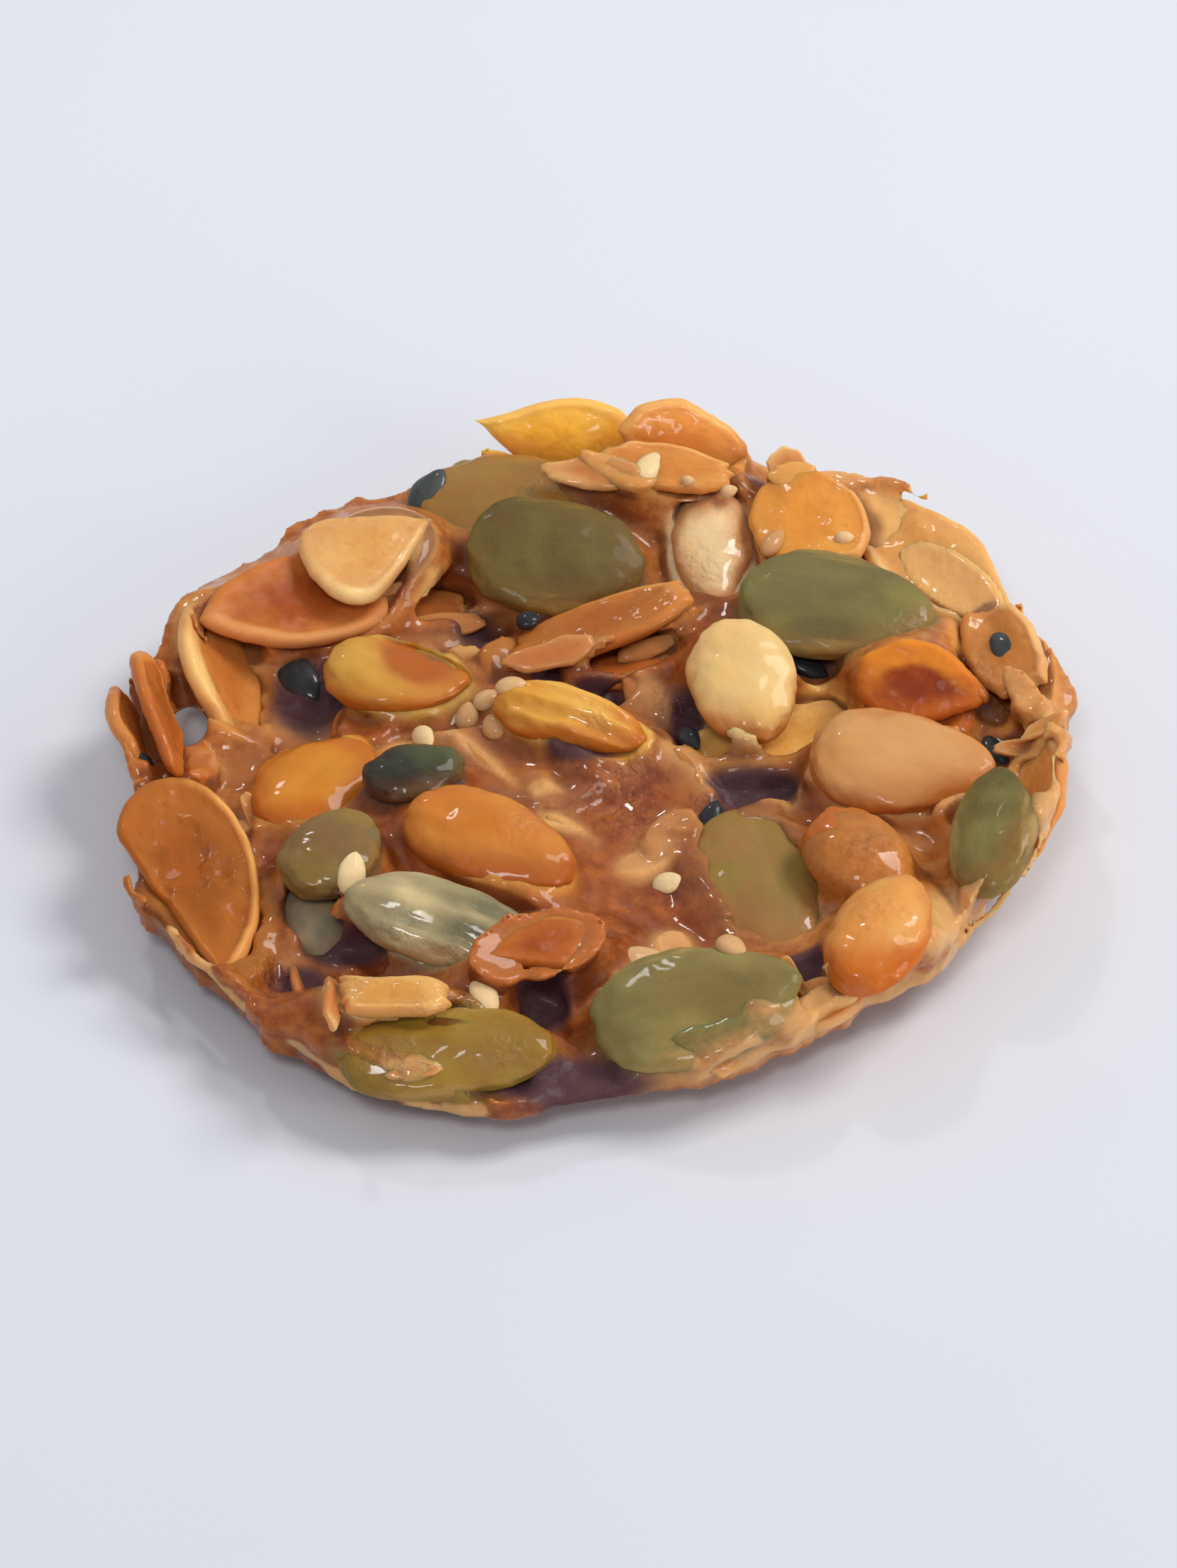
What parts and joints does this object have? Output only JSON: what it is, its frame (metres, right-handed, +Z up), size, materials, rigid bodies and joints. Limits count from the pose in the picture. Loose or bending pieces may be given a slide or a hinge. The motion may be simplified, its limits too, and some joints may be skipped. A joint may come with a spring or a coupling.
{
  "type": "florentine cookie",
  "caption": "Thin dished round of set amber caramel that carries pumpkin seeds, melon kernels and almond flakes, bedded and stacked in one open layer.",
  "frame": {"origin": "on the flat underside's level, under the middle of the cookie's box", "axes": "+Z up through the thickness, towards the side with the seeds; -Y towards the front; +X right"},
  "size_m": [0.06, 0.0629, 0.01],
  "materials": {
    "caramel": "glossy set caramel, amber, a little translucent",
    "pumpkin_seed": "olive green seed, glazed",
    "melon_kernel": "cream to amber kernel, glazed",
    "almond_flake": "toasted orange-brown flake, glazed"
  },
  "bodies": {
    "root": {"almond_flake_01": "almond_flake", "almond_flake_02": "almond_flake", "almond_flake_03": "almond_flake", "almond_flake_04": "almond_flake", "almond_flake_05": "almond_flake", "almond_flake_06": "almond_flake", "almond_flake_07": "almond_flake", "almond_flake_08": "almond_flake", "almond_flake_09": "almond_flake", "almond_flake_10": "almond_flake", "almond_flake_11": "almond_flake", "almond_flake_12": "almond_flake", "almond_flake_13": "almond_flake", "almond_flake_14": "almond_flake", "almond_flake_15": "almond_flake", "almond_flake_16": "almond_flake", "almond_flake_17": "almond_flake", "almond_flake_18": "almond_flake", "almond_flake_19": "almond_flake", "almond_flake_20": "almond_flake", "almond_flake_21": "almond_flake", "almond_flake_22": "almond_flake", "almond_flake_23": "almond_flake", "almond_flake_24": "almond_flake", "caramel": "caramel", "melon_kernel_01": "melon_kernel", "melon_kernel_02": "melon_kernel", "melon_kernel_03": "melon_kernel", "melon_kernel_04": "melon_kernel", "melon_kernel_05": "melon_kernel", "melon_kernel_06": "melon_kernel", "melon_kernel_07": "melon_kernel", "melon_kernel_08": "melon_kernel", "melon_kernel_09": "melon_kernel", "pumpkin_seed_01": "pumpkin_seed", "pumpkin_seed_02": "pumpkin_seed", "pumpkin_seed_03": "pumpkin_seed", "pumpkin_seed_04": "pumpkin_seed", "pumpkin_seed_05": "pumpkin_seed", "pumpkin_seed_06": "pumpkin_seed", "pumpkin_seed_07": "pumpkin_seed", "pumpkin_seed_08": "pumpkin_seed", "pumpkin_seed_09": "pumpkin_seed", "pumpkin_seed_10": "pumpkin_seed", "pumpkin_seed_11": "pumpkin_seed"}
  },
  "joints": []
}
